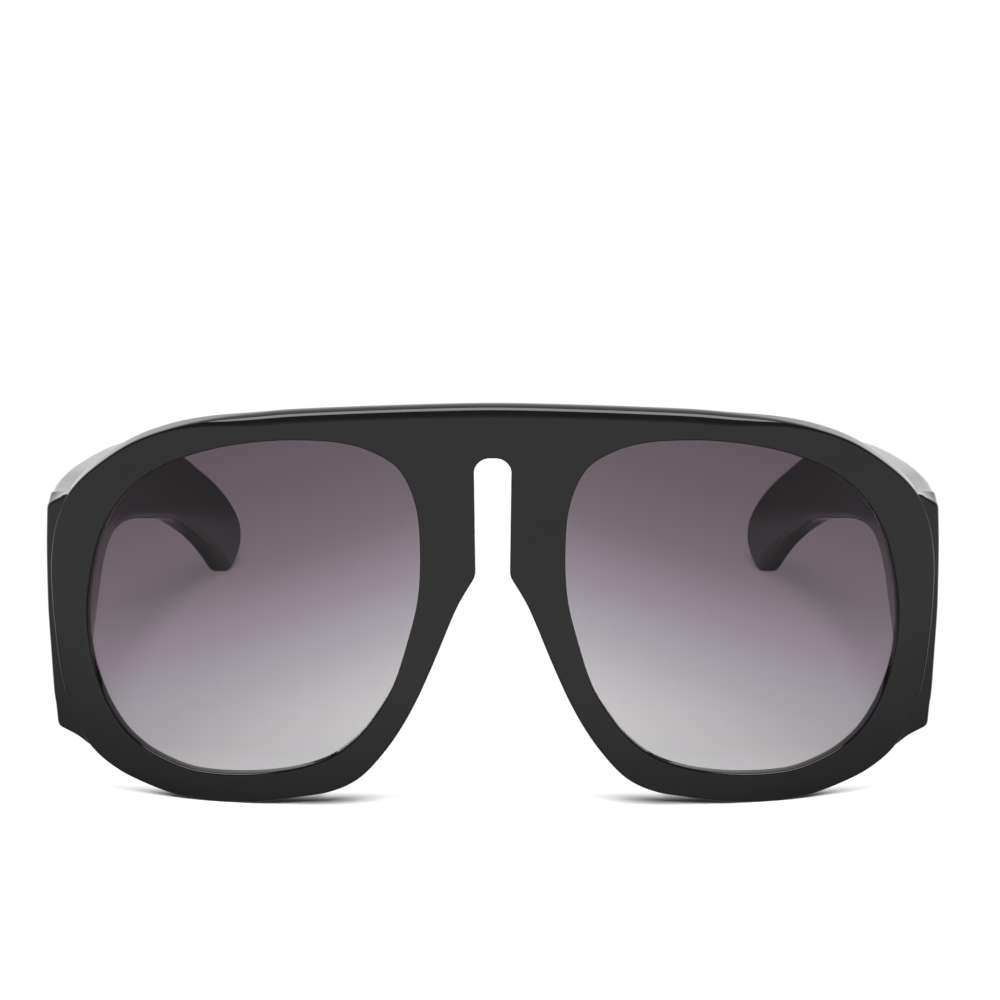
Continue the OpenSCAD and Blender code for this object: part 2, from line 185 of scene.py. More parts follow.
def soft_corner(before, after, reach, count=10):
    """Two lines that meet in a corner, with the corner made a short curve: the quadratic Bezier
    line from reach metres before the corner to reach metres after it. Both lines get half."""
    corner = before[-1]
    a, b = piece_of(before, 0, reach), piece_of(after, reach, 0)
    t = np.linspace(0, 1, 2 * count + 1)[:, None]
    turn = (1 - t) ** 2 * a[-1] + 2 * t * (1 - t) * corner + t**2 * b[0]
    return np.vstack([a, turn[1:count + 1]]), np.vstack([turn[count:-1], b])


def cut_square(shell, depth, side):
    """Cuts off what lies past a depth, on the side that the sign gives, and closes the cut flat."""
    everything = shell.verts[:] + shell.edges[:] + shell.faces[:]
    cut = bmesh.ops.bisect_plane(
        shell, geom=everything, dist=plane_reach, plane_co=(0, depth, 0), plane_no=(0, side, 0),
        clear_outer=True)
    edges = [e for e in cut["geom_cut"] if isinstance(e, bmesh.types.BMEdge)]
    bmesh.ops.holes_fill(shell, edges=edges)


def build(name, parts, material, body, replaces, drop=None, cut=None):
    """One closed piece from several grids of (points, faces): their shared edges are welded, faces
    that drop says lie on a cut plane are left out, what lies past the cut's depth is cut off, all
    faces are turned outwards, and only edges sharper than the crease angle stay sharp."""
    count, points, faces = 0, [], []
    for grid_points, grid_faces in parts:
        points.append(grid_points.reshape(-1, 3))
        faces.append(grid_faces + count)
        count += len(points[-1])
    points, faces = np.vstack(points), np.vstack(faces)
    if drop is not None:
        faces = faces[~drop(points)[faces].all(axis=1)]
    mesh = bpy.data.meshes.new(name)
    mesh.from_pydata(points.tolist(), [], faces.tolist())
    shell = bmesh.new()
    shell.from_mesh(mesh)
    bmesh.ops.remove_doubles(shell, verts=shell.verts, dist=weld_reach)
    bmesh.ops.dissolve_degenerate(shell, edges=shell.edges, dist=weld_reach / 10)
    loose = [v for v in shell.verts if not v.link_faces]
    bmesh.ops.delete(shell, geom=loose, context="VERTS")
    if cut:
        cut_square(shell, *cut)
    bmesh.ops.recalc_face_normals(shell, faces=shell.faces)
    shell.to_mesh(mesh)
    shell.free()
    mesh.shade_smooth()
    mesh.set_sharp_from_angle(angle=crease_angle)
    mesh.materials.append(material)
    piece = bpy.data.objects.new(name, mesh)
    bpy.context.scene.collection.objects.link(piece)
    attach(piece, body)
    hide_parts(*replaces)


def mirrored(parts):
    """The same grids on the other side of the middle plane."""
    return [(points * [-1, 1, 1], faces[:, ::-1]) for points, faces in parts]


def material_with(name, **values):
    """A material with one Principled shader, with the given sockets set on it."""
    material = bpy.data.materials.new(name)
    material.use_nodes = True
    tree = material.node_tree
    shader = tree.nodes["Principled BSDF"]
    for socket, value in values.items():
        shader.inputs[socket.replace("_", " ")].default_value = value
    return material, tree, shader


def add_node(tree, kind, inputs=(), **settings):
    """A node of that kind, with its settings and with its inputs set or linked."""
    node = tree.nodes.new(kind)
    for key, value in settings.items():
        setattr(node, key, value)
    for socket, value in dict(inputs).items():
        if isinstance(value, bpy.types.NodeSocket):
            tree.links.new(value, node.inputs[socket])
        else:
            node.inputs[socket].default_value = value
    return node


def ramp(tree, factor, stops):
    """A colour ramp over the given (place, colour) stops."""
    node = add_node(tree, "ShaderNodeValToRGB", {"Fac": factor})
    while len(node.color_ramp.elements) < len(stops):
        node.color_ramp.elements.new(1.0)
    for element, (place, colour) in zip(node.color_ramp.elements, stops):
        element.position = place
        element.color = (*colour, 1)
    return node.outputs["Color"]


def polished_acetate(name, dark, light, rough_low, rough_high, wave):
    """Black acetate: nearly black through and through, with a wheel-polished skin whose gloss
    drifts a little and whose surface waves very slightly over a few millimetres."""
    material, tree, shader = material_with(name, IOR=1.49)
    place = add_node(tree, "ShaderNodeTexCoord").outputs["Object"]
    cloud = add_node(tree, "ShaderNodeTexNoise", {"Vector": place, "Scale": 90.0, "Detail": 3.0})
    stops = [(noise_low, dark), (noise_high, light)]
    tree.links.new(ramp(tree, cloud.outputs["Fac"], stops), shader.inputs["Base Color"])
    wipe = add_node(tree, "ShaderNodeTexNoise", {"Vector": place, "Scale": 420.0, "Detail": 5.0})
    gloss = add_node(tree, "ShaderNodeMapRange", {
        "Value": wipe.outputs["Fac"], "From Min": noise_low, "From Max": noise_high,
        "To Min": rough_low, "To Max": rough_high})
    tree.links.new(gloss.outputs["Result"], shader.inputs["Roughness"])
    swell = add_node(tree, "ShaderNodeTexNoise", {"Vector": place, "Scale": 110.0, "Detail": 1.0})
    bump = add_node(tree, "ShaderNodeBump", {
        "Height": swell.outputs["Fac"], "Strength": 1.0, "Distance": wave})
    tree.links.new(bump.outputs["Normal"], shader.inputs["Normal"])
    return material


front_acetate = polished_acetate(
    "front_acetate", (0.003, 0.003, 0.0034), (0.0048, 0.0048, 0.0052), 0.05, 0.1, 0.002 * MM)

# Half of the slot from its rounded top down to the foot, then on round the rim to the top middle
opening_line = smooth(on_front(opening_shares), opening_steps, closed=True)
crown_z = front_height - slot_crown - slot_corner
crown_turn = np.linspace(np.pi / 2, 0, outline_steps)
crown = np.stack([slot_half - slot_corner + slot_corner * np.cos(crown_turn),
                  crown_z + slot_corner * np.sin(crown_turn)], 1)
crown = np.vstack([[0, crown[0, 1]], crown])
foot = np.array([slot_mouth_half, front_height * slot_foot_share])
past_middle = (-rim_shares[-2][0], rim_shares[-2][1])
from_foot = smooth(on_front(rim_shares + [past_middle]), outline_steps)[:-outline_steps]
slot_side, from_foot = soft_corner(
    np.vstack([crown, foot]), np.vstack([foot, from_foot]), slot_foot_round)
outline = by_step(np.vstack([slot_side, from_foot[1:]]), outline_step)
outline[0, 0] = outline[-1, 0] = 0
middle_share = np.linspace(0, 1, middle_count + 2)[1:-1, None]


def one_way(angle):
    """Angles round a closed loop, evened out so that they never turn back: each step becomes the
    mean of its neighbours, at least a share of the mean step, and all add up to a full turn."""
    way = np.sign(angle[-1] - angle[0])
    step = np.diff(np.append(angle, angle[0] + way * 2 * np.pi)) * way
    wrapped = np.concatenate([step[-pair_blur:], step, step[:pair_blur]])
    step = np.convolve(wrapped, np.full(2 * pair_blur + 1, 1 / (2 * pair_blur + 1)), "valid")
    step = np.maximum(step, least_turn_share * step.mean())
    return angle[0] + way * np.append(0, np.cumsum(step * 2 * np.pi / step.sum()))[:-1]


def rim_half():
    """Half of the front as one grid: round the lens opening in one direction, and across the rim
    in the other, from the opening's wall over the front face, the outer edge and the back face to
    the wall again. A round is a quarter turn whose radius follows the edge."""
    normal = right_normals(outline, closed=False)
    normal[0], normal[-1] = (0, -1), (0, 1)
    left_to_go = np.cumsum(np.linalg.norm(np.diff(outline[::-1], axis=0), axis=1))[::-1]
    brow = np.clip((brow_gone - np.append(left_to_go, 0)) / (brow_gone - brow_full), 0, 1)
    brow = (brow * brow * (3 - 2 * brow))[:, None]
    radius = edge_round + (brow_round - edge_round) * brow
    radius_back = back_round + (brow_back_round - back_round) * brow
    middle_zero = np.zeros((middle_count, 1))

    def with_middle(edge, top, bottom):
        """The edge's points, then the straight run down the middle plane."""
        run = top + (bottom - top) * middle_share
        return np.vstack([edge, run])

    def face_edge(r):
        edge = outline - normal * r
        return with_middle(edge, edge[-1], edge[0])

    rays_from = on_front(ray_share)
    target = with_middle(outline, outline[-1], outline[0])
    angle = one_way(np.unwrap(np.arctan2(*(target - rays_from).T[::-1])))
    found = np.unwrap(np.arctan2(*(opening_line - rays_from).T[::-1]))
    shift = np.round((angle.mean() - found.mean()) / (2 * np.pi)) * 2 * np.pi
    lap = np.concatenate([found - 2 * np.pi, found, found + 2 * np.pi]) + shift
    laps = np.vstack([opening_line] * 3)
    inner = np.stack([np.interp(angle, lap, laps[:, k]) for k in range(2)], 1)
    inner_normal = right_normals(inner, closed=True)
    outward = np.sign(np.sum(inner_normal * (inner - inner.mean(0)), axis=1, keepdims=True))
    inner_normal = inner_normal * outward

    columns = []

    def add(place, depth):
        columns.append(np.stack([place[:, 0], depth, place[:, 1]], 1))

    def sink(place, depth):
        """Points a depth under the front face, straight in from it towards the curve's centre."""
        place = place * [1 - depth / base_radius, 1]
        add(place, face_y(place[:, 0], depth))

    outer = np.vstack([outline, face_edge(radius)[-middle_count:]])
    outer_back = np.vstack([outline, face_edge(radius_back)[-middle_count:]])
    outer_normal = np.vstack([normal, np.zeros((middle_count, 2))])
    outer_radius = np.vstack([radius, middle_zero])
    back_radius = np.vstack([radius_back, middle_zero])
    for q in quarter_turn:
        sink(inner + inner_normal * opening_round * (1 - np.cos(q)), opening_round * (1 - np.sin(q)))
    near, far = inner + inner_normal * opening_round, face_edge(radius)
    for s in face_places:
        place = near + (far - near) * s
        add(place, face_y(place[:, 0]))
    for q in quarter_turn[::-1]:
        place = outer - outer_normal * outer_radius * (1 - np.cos(q))
        add(place, face_y(place[:, 0]) + outer_radius[:, 0] * (1 - np.sin(q)))
    for s in edge_places:
        start = face_y(outer[:, 0]) + outer_radius[:, 0]
        end = face_y(outer_back[:, 0], sheet_thick) - back_radius[:, 0]
        place = outer + (outer_back - outer) * s
        add(place, start + (end - start) * s)
    for q in quarter_turn:
        place = outer_back - outer_normal * back_radius * (1 - np.cos(q))
        add(place, face_y(place[:, 0], sheet_thick) - back_radius[:, 0] * (1 - np.sin(q)))
    near = face_edge(radius_back)
    far = (inner + inner_normal * back_flare) * [1 - sheet_thick / base_radius, 1]
    for s in face_places:
        place = near + (far - near) * s
        add(place, face_y(place[:, 0], sheet_thick))
    for s in flare_places:
        sink(inner + inner_normal * back_flare * (1 - s), sheet_thick + (wall_depth - sheet_thick) * s)
    for s in wall_places:
        sink(inner, wall_depth + (opening_round - wall_depth) * s)
    grid = np.stack(columns, 1)
    grid[..., 2] = np.maximum(grid[..., 2], 0)
    return [(grid, ring_quads(grid.shape[0], grid.shape[1], close_rows=True, close_cols=True))]


front_half = rim_half()
build("front_shell", front_half + mirrored(front_half), front_acetate, "front",
      ["front_frame"], drop=lambda points: np.abs(points[:, 0]) < plane_reach)

# The end blocks: solid corner blocks of the same acetate, glued round the outer edge of each rim
# and a step behind its face. They carry the hinges, and the temples butt on their back faces.
block_step = 0.7 * MM
seam_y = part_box("left_end_block")[1][1]
block_round = 0.5 * MM
# How far past the seam it is made, before it is cut off square there
block_spare = 1.0 * MM
# How far from a corner its curve starts, where it shows and where the rim hides it
block_corner_reach = 0.85 * MM
block_hidden_reach = 0.8 * MM
# Steps between two points of the drawing, and points along its long and its short sides
block_steps = 16
block_counts = (170, 40)
# Rings between the two rounds of a slab
between_rings = 12
# Height of the block's top at the seam, and how far down the block's sides follow its rise
seam_top = 49.2 * MM
lift_reach = 6 * MM
# Sides of a block: outer side, top, inner side and foot, as shares of the same sizes
block_outer_shares = [
    (0.985, 0.1541), (0.9885, 0.2063), (0.9925, 0.2444), (0.9965, 0.3466), (1, 0.4478),
    (1, 0.5284), (0.9985, 0.6182), (0.9944, 0.7114),
]
block_top_shares = [
    (0.9944, 0.7114), (0.989, 0.7154), (0.977, 0.7245), (0.965, 0.7325), (0.949, 0.7425),
    (0.893, 0.7505),
]
block_inner_shares = [
    (0.893, 0.7505), (0.893, 0.6213), (0.9, 0.558), (0.919, 0.4809), (0.923, 0.3757),
    (0.907, 0.2684), (0.9, 0.1752), (0.902, 0.1072),
]
block_foot_shares = [
    (0.902, 0.1072), (0.917, 0.1166), (0.934, 0.1296), (0.951, 0.1392), (0.985, 0.1541),
]


def patch(bottom, top, left, right):
    """Coons patch: the two ruled sheets between opposite sides, less the one through the corners."""
    u = np.linspace(0, 1, len(bottom))[:, None, None]
    v = np.linspace(0, 1, len(left))[None, :, None]
    across = (1 - v) * bottom[:, None] + v * top[:, None]
    along = (1 - u) * left[None] + u * right[None]
    corners = ((1 - u) * (1 - v) * bottom[0] + u * (1 - v) * bottom[-1]
               + (1 - u) * v * top[0] + u * v * top[-1])
    return across + along - corners


def slab(sides, counts, near, far, rounds, place):
    """A slab over a drawing with four sides that run on from one another. counts gives the points
    on the first and on the second side, near and far the depth of the two faces, rounds the
    radius of the edges along the drawing, and place turns points and depths into space."""
    sides = [stations(side, counts[k % 2]) for k, side in enumerate(sides)]
    loop = np.vstack([side[:-1] for side in sides])
    normal = right_normals(loop, closed=True)
    ahead = np.roll(loop, -1, 0)
    if np.sum(loop[:, 0] * ahead[:, 1] - loop[:, 1] * ahead[:, 0]) < 0:
        normal = -normal
    radius = rounds(loop)[:, None]
    ends = np.cumsum([len(side) - 1 for side in sides])[:-1]
    parts = []

    def cap(depth):
        edge = loop - normal * radius
        edge = np.vstack([edge, edge[:1]])
        first, second = edge[:ends[0] + 1], edge[ends[0]:ends[1] + 1]
        third, fourth = edge[ends[1]:ends[2] + 1][::-1], edge[ends[2]:][::-1]
        flat = patch(first, third, fourth, second).reshape(-1, 2)
        parts.append((place(flat, depth(flat)), ring_quads(*counts)))

    cap(near)
    cap(far)
    way = np.sign(far(loop) - near(loop))
    rings = []
    for q in quarter_turn[::-1]:
        ring = loop - normal * radius * (1 - np.cos(q))
        rings.append(place(ring, near(ring) + way * radius[:, 0] * (1 - np.sin(q))))
    start, end = near(loop) + way * radius[:, 0], far(loop) - way * radius[:, 0]
    for s in np.linspace(0, 1, between_rings + 2)[1:-1]:
        rings.append(place(loop, start + (end - start) * s))
    for q in quarter_turn:
        ring = loop - normal * radius * (1 - np.cos(q))
        rings.append(place(ring, far(ring) - way * radius[:, 0] * (1 - np.sin(q))))
    grid = np.stack(rings)
    parts.append((grid, ring_quads(grid.shape[0], grid.shape[1], close_cols=True)))
    return parts


def end_block():
    """An end block: its drawing in X and Z made solid from the step behind the rim to past the
    seam. Its top slants at the front and is level at the seam: it is lifted or lowered evenly on
    the way there, and less and less towards lift_reach below the top."""
    outer, top, inner, foot_side = [smooth(on_front(shares), block_steps) for shares in (
        block_outer_shares, block_top_shares, block_inner_shares, block_foot_shares)]
    top_line = top[::-1]
    outer, top = soft_corner(outer, top, block_corner_reach)
    top, inner = soft_corner(top, inner, block_hidden_reach)
    inner, foot_side = soft_corner(inner, foot_side, block_hidden_reach)
    foot_side, outer = soft_corner(foot_side, outer, block_corner_reach)

    def place(p, depth):
        start = face_y(p[:, 0]) + block_step
        way = np.clip((depth - start) / (seam_y - start), 0, 1)
        slant = np.interp(p[:, 0], top_line[:, 0], top_line[:, 1])
        near_top = np.clip(1 - (slant - p[:, 1]) / lift_reach, 0, 1)
        lifted = p[:, 1] + way * near_top * (seam_top - slant)
        return np.stack([np.minimum(p[:, 0], half_width), depth, lifted], 1)

    return slab(
        [outer, top, inner, foot_side], block_counts,
        lambda p: face_y(p[:, 0]) + block_step,
        lambda p: np.full(len(p), seam_y + block_spare),
        lambda p: np.full(len(p), block_round),
        place,
    )


block = end_block()
build("left_block", block, front_acetate, "front", ["left_end_block"],
      cut=(seam_y, 1))
build("right_block", mirrored(block), front_acetate, "front", ["right_end_block"],
      cut=(seam_y, 1))

# The nose pads: slim domed ovals of the same acetate, tumbled to a softer gloss. They are glued to
# the back of the front beside the nose and lean inwards at the top, as the nose does.
pad_share = (0.1605, 0.371)
pad_length = 17 * MM
pad_width = 3.6 * MM
pad_rise = 5.5 * MM
pad_lean = np.radians(21.5)
# Power of the dome's profile, where 2 would be a plain ellipse, and how much its ends drop
pad_power = 2.6
pad_end_drop = 0.55
# How far its foot reaches into the front, so that no gap shows
pad_sunk = 0.3 * MM
pad_around, pad_rings = 72, 22


def nose_pad():
    """A dome on an oval: rings that shrink to the crown while they rise, with a full shoulder."""
    middle = on_front(pad_share)
    around = np.linspace(0, 2 * np.pi, pad_around, endpoint=False)[None, :]
    rise = np.sin(np.linspace(0, np.pi / 2, pad_rings))[:, None]
    size = (1 - rise**pad_power) ** (1 / pad_power)
    x = size * pad_width / 2 * np.cos(around)
    z = size * pad_length / 2 * np.sin(around) + 0 * rise
    turned = np.stack([x * np.cos(pad_lean) - z * np.sin(pad_lean) + middle[0],
                       x * np.sin(pad_lean) + z * np.cos(pad_lean) + middle[1]], -1)
    long_share = np.clip(np.abs(size * np.sin(around)), 0, 1)
    height = pad_rise * rise * np.sqrt(1 - pad_end_drop * long_share**2)
    base = face_y(turned[..., 0], sheet_thick)
    dome = np.stack([turned[..., 0], base + height, turned[..., 1]], -1)
    sunk = np.concatenate([dome[:1] - [0, pad_sunk, 0], dome])
    centre = sunk[0].mean(0)
    lid = np.repeat(centre[None, None], sunk.shape[1], axis=1)
    grid = np.concatenate([lid, sunk])
    return [(grid, ring_quads(grid.shape[0], grid.shape[1], close_cols=True))]


pad_acetate = polished_acetate(
    "pad_acetate", (0.004, 0.004, 0.0045), (0.006, 0.006, 0.0065), 0.16, 0.26, 0.003 * MM)
pad = nose_pad()
build("left_pad", pad, pad_acetate, "front", ["left_nose_pad"])
build("right_pad", mirrored(pad), pad_acetate, "front", ["right_nose_pad"])

# The lenses: polycarbonate on the front's own curve, snapped into a groove round each opening.
# The dye fades from a dark plum-grey at the top to nearly clear at the bottom.
lens_recess = 1.5 * MM
lens_thick = 1.8 * MM
# How far the front and the back of a lens reach into the rim
lens_reach, lens_back_reach = 0.3 * MM, 1.3 * MM
# Rings from its middle to its edge, and how many of the opening's points make one of a ring's
lens_rings, lens_every = 40, 4
# The dye's level is the height plus a tilt times the distance out from the lens's middle
dye_middle = 38 * MM
dye_tilt = 0.375
dye_top = 62 * MM
dye_stops = [
    (0.0, (0.87, 0.868, 0.87)), (0.13, (0.8, 0.79, 0.8)), (0.2, (0.755, 0.733, 0.747)),
    (0.31, (0.656, 0.637, 0.663)), (0.42, (0.574, 0.551, 0.582)), (0.508, (0.527, 0.474, 0.519)),
    (0.584, (0.468, 0.427, 0.46)), (0.66, (0.414, 0.37, 0.402)), (0.81, (0.372, 0.33, 0.36)),
    (1.0, (0.337, 0.29, 0.324)),
]


def lens_part():
    """Front and back of a lens as rings from its middle to its edge, which sits in the rim. The
    back is the wider one, as the rim flares behind the opening's wall."""
    edge_normal = right_normals(opening_line, closed=True)
    middle = opening_line.mean(0)
    away = np.sign(np.sum(edge_normal * (opening_line - middle), axis=1, keepdims=True))
    share = np.linspace(0, 1, lens_rings)[:, None, None]
    faces = []
    for depth, reach in ((lens_recess, lens_reach), (lens_recess + lens_thick, lens_back_reach)):
        edge = (opening_line + edge_normal * away * reach)[::lens_every]
        flat = middle + (edge[None] - middle) * share
        x = flat[..., 0] * (1 - depth / base_radius)
        faces.append(np.stack([x, face_y(x, depth), flat[..., 1]], -1))
    grid = np.concatenate([faces[0], faces[1][::-1]])
    return [(grid, ring_quads(grid.shape[0], grid.shape[1], close_cols=True))]


def gradient_lens():
    """Dyed polycarbonate: each face lets through the root of the dye's colour at that height, and
    mirrors a little, more at a glancing angle. The dye's levels rise a little towards the nose."""
    material = bpy.data.materials.new("lens_dye")
    material.use_nodes = True
    tree = material.node_tree
    tree.nodes.clear()
    place = add_node(tree, "ShaderNodeTexCoord").outputs["Object"]
    axes = add_node(tree, "ShaderNodeSeparateXYZ", {"Vector": place}).outputs
    out = add_node(tree, "ShaderNodeMath", {0: axes["X"]}, operation="ABSOLUTE")
    past = add_node(tree, "ShaderNodeMath", {0: out.outputs[0], 1: dye_middle}, operation="SUBTRACT")
    level = add_node(tree, "ShaderNodeMath", {0: past.outputs[0], 1: dye_tilt, 2: axes["Z"]},
                     operation="MULTIPLY_ADD")
    share = add_node(tree, "ShaderNodeMapRange", {"Value": level.outputs[0], "From Max": dye_top})
    dye = ramp(tree, share.outputs["Result"], dye_stops)
    clear = add_node(tree, "ShaderNodeBsdfTransparent", {"Color": dye})
    mirror = add_node(tree, "ShaderNodeBsdfGlossy", {"Roughness": 0.02})
    fresnel = add_node(tree, "ShaderNodeFresnel", {"IOR": 1.33})
    mix = add_node(tree, "ShaderNodeMixShader", {
        0: fresnel.outputs["Fac"], 1: clear.outputs["BSDF"], 2: mirror.outputs["BSDF"]})
    add_node(tree, "ShaderNodeOutputMaterial", {"Surface": mix.outputs["Shader"]})
    return material


lens_dye = gradient_lens()
lens_parts = lens_part()
build("left_glass", lens_parts, lens_dye, "front", ["left_lens"])
build("right_glass", mirrored(lens_parts), lens_dye, "front", ["right_lens"])

# The temples: 4.4 mm acetate, a tall panel at the front that narrows to an arm, bows towards the
# head and drops to a round tip. Edges are rounded, but the butt end at the seam is left crisp.
temple_low, temple_high = np.array(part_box("left_temple"))
temple_y = temple_low[1]
temple_length = temple_high[1] - temple_y
temple_thick = 4.4 * MM
temple_bow = 430 * MM
temple_edge, tip_edge = 0.85 * MM, 1.6 * MM
# Shares of its length between which the edges' rounding grows to the tip's
tip_from, tip_to = 0.84, 0.97
# How far before the seam it is made, before it is cut off square there
temple_spare = 1.2 * MM
# Steps between two points of the drawing, and points along its long and its short sides
temple_steps = 16
temple_counts = (320, 30)
# Behind the seam the outer face starts flush with the block's side, and is full from here on
flush_reach = 14 * MM
block_top = 48.75 * MM
# Lower and upper side from the front end to the tip, as shares of the temple's length and of the
# end block's top height
temple_lower_shares = [
    (0, 0.216), (0.053, 0.225), (0.104, 0.264), (0.154, 0.382), (0.201, 0.475), (0.238, 0.551),
    (0.264, 0.583), (0.293, 0.605), (0.328, 0.617), (0.373, 0.611), (0.419, 0.596), (0.5, 0.55),
    (0.586, 0.487), (0.634, 0.454), (0.684, 0.415), (0.732, 0.364), (0.803, 0.272),
    (0.856, 0.19), (0.896, 0.112), (0.922, 0.054), (0.936, 0.02), (0.95, 0),
]
temple_upper_shares = [
    (0, 1.009), (0.03, 0.999), (0.086, 0.983), (0.191, 0.954), (0.34, 0.9), (0.47, 0.849),
    (0.585, 0.792), (0.669, 0.724), (0.76, 0.604), (0.816, 0.524), (0.869, 0.447),
    (0.912, 0.379), (0.946, 0.316), (0.973, 0.254), (0.991, 0.197), (0.999, 0.147),
    (1, 0.104), (0.991, 0.06), (0.971, 0.018), (0.95, 0),
]
# The short side at the tip runs from this many points before the lowest one to as many behind it
tip_points = 2


def temple_side(y):
    """Place of the temple's outer face: an arc that leaves the front square on."""
    return half_width - temple_bow + np.sqrt(temple_bow**2 - (y - seam_y) ** 2)


def temple_inner_side(y):
    """Place of its inner face, on the arc about the same centre."""
    inner_bow = temple_bow - temple_thick
    return half_width - temple_bow + np.sqrt(inner_bow**2 - (y - seam_y) ** 2)


def flush(p):
    """How much further in the outer face lies, to meet the block's side at the seam: what the side
    falls short of the full width by, fading out as a smooth step over the flush reach."""
    side = on_front(block_outer_shares)
    short = half_width - np.interp(p[:, 1], side[:, 1], side[:, 0])
    gone = np.clip((p[:, 0] - temple_y) / flush_reach, 0, 1)
    return short * (1 - gone) ** 2 * (1 + 2 * gone)


def temple_part():
    """A temple: its drawing in Y and Z made solid between the outer and the inner arc. It starts
    a little before the seam, where it is cut off square."""
    whole = smooth(np.array(temple_lower_shares + temple_upper_shares[::-1][1:]), temple_steps)
    whole = whole * [temple_length, block_top] + [temple_y, 0]
    whole[:, 0] = np.minimum(whole[:, 0], temple_y + temple_length)
    whole[:, 1] = np.maximum(whole[:, 1], 0)
    turn_at = (len(temple_lower_shares) - tip_points) * temple_steps
    turn_end = turn_at + 2 * tip_points * temple_steps
    lower, tip, upper = whole[:turn_at + 1], whole[turn_at:turn_end + 1], whole[turn_end:]
    lower = np.vstack([lower[0] - [temple_spare, 0], lower])
    upper = np.vstack([upper, upper[-1] - [temple_spare, 0]])

    def edge_at(p):
        """Radius of the edge: the arm's, growing as a smooth step to the tip's."""
        grown = np.clip(((p[:, 0] - temple_y) / temple_length - tip_from) / (tip_to - tip_from), 0, 1)
        return temple_edge + (tip_edge - temple_edge) * grown * grown * (3 - 2 * grown)

    return slab(
        [lower, tip, upper, np.array([upper[-1], lower[0]])], temple_counts,
        lambda p: temple_side(p[:, 0]) - flush(p),
        lambda p: temple_inner_side(p[:, 0]),
        edge_at,
        lambda p, depth: np.stack([depth, p[:, 0], p[:, 1]], 1),
    )


temple_acetate = polished_acetate(
    "temple_acetate", (0.003, 0.003, 0.0034), (0.0048, 0.0048, 0.0052), 0.06, 0.12, 0.0012 * MM)
temple_parts = temple_part()
build("left_arm_shell", temple_parts, temple_acetate, "left_arm",
      ["left_temple"], cut=(temple_y, -1))
build("right_arm_shell", mirrored(temple_parts), temple_acetate, "right_arm",
      ["right_temple"], cut=(temple_y, -1))

# The hinges: plated nickel silver leaves with five barrels, held by small countersunk screws, and
# the flat core wires of the same metal inside the temples.


def worn_metal(name, colour, rough_low, rough_high):
    """Tumbled and plated metal: a fine grain along one way and slightly uneven gloss."""
    material, tree, shader = material_with(name, Base_Color=(*colour, 1), Metallic=1.0)
    place = add_node(tree, "ShaderNodeTexCoord").outputs["Object"]
    stretch = add_node(tree, "ShaderNodeMapping", {"Vector": place, "Scale": (900.0, 900.0, 9000.0)})
    grain = add_node(tree, "ShaderNodeTexNoise", {
        "Vector": stretch.outputs["Vector"], "Scale": 1.0, "Detail": 4.0})
    gloss = add_node(tree, "ShaderNodeMapRange", {
        "Value": grain.outputs["Fac"], "From Min": noise_low, "From Max": noise_high,
        "To Min": rough_low, "To Max": rough_high})
    tree.links.new(gloss.outputs["Result"], shader.inputs["Roughness"])
    bump = add_node(tree, "ShaderNodeBump", {
        "Height": grain.outputs["Fac"], "Strength": 0.3, "Distance": 0.01 * MM})
    tree.links.new(bump.outputs["Normal"], shader.inputs["Normal"])
    return material


hinge_metal = worn_metal("hinge_metal", (0.56, 0.53, 0.47), 0.22, 0.38)
screw_metal = worn_metal("screw_metal", (0.66, 0.64, 0.6), 0.15, 0.28)
for name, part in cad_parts.items():
    if name.endswith("_leaf") or name.endswith("_wire"):
        part.material_slots[0].material = hinge_metal
    elif "screw" in name:
        part.material_slots[0].material = screw_metal

# The studio: a white paper table, a wide soft lamp overhead and a key lamp in front, pale walls
# behind and dark ones in front, and a camera a little over half a metre away that looks down on
# the front.
table_size = 6.0
lamp_width, lamp_depth = 1.25, 0.62
lamp_watts = 14.3
lamp_place = (0, -0.235, 1.3)
key_width, key_depth = 0.4, 1.0
key_watts = 37.0
key_place = (0, -1.0, 1.25)
# Painted shade and highlight: how bright the gloss sees the paper, by the distance behind the
# front's foremost line. It is darker in front, most near the foot, where the glasses would shade it,
# and brighter than the lamps make it behind the front
gloss_near, gloss_far = -200 * MM, 250 * MM
painted_gloss_stops = [(-200, 0.75), (-165, 0.71), (-118, 0.76), (-70, 0.8), (-40, 0.68), (-12, 0.47),
               (-3, 0.42), (4, 0.3), (12, 0.3), (35, 1.2), (100, 1.3), (250, 1.1)]
# Behind the front, between the second and the third of these, the gloss sees the paper as the
# lamps light it, and before the first and past the last only the painted tones above
under_from, under_to, under_end, under_gone = 0.0, 30 * MM, 300 * MM, 450 * MM
# Paper white, and a painted shade: the paper's darker tone in gloss between the temples' tips,
# where the temples would shade it
paper_white, tips_shade_tone = 0.95, 0.4
tips_shade_from, tips_shade_to, tips_shade_blur = 175 * MM, 240 * MM, 15 * MM
# Plain white as the camera sees it, painted over the lit paper and the glasses' shadows on it:
# partly behind the front, and wholly between the rims, outside the blocks and far off
plain_white = 1.03
behind_from, behind_to, painted_out_share = 4 * MM, 9 * MM, 0.7
# The gap's half width and the outer limit, each as two straight lines (start, slope) of the depth
gap_lines = (31 * MM, -0.25), (14 * MM, -0.02)
outside_lines = (70.9 * MM, 0.109), (49 * MM, 0.45)
limit_blur = 2 * MM
white_from, white_to = 150 * MM, 200 * MM
# Tones of the walls in front, of their feet, and of those behind, high up and low down
wall_dark, wall_foot, wall_back, wall_low = 0.12, 0.6, 1.0, 1.15
# How far back, and how far up, the gloss looks for each tone, where 1 is straight back or up
back_stops = [(0.08, wall_dark), (0.28, wall_back), (0.8, wall_back), (0.97, wall_low)]
foot_stops = [(0.0, wall_foot), (0.25, 0.4 * wall_foot), (0.55, wall_dark)]


def greys(stops):
    """Stops of a ramp whose values become greys."""
    return [(place, (value, value, value)) for place, value in stops]


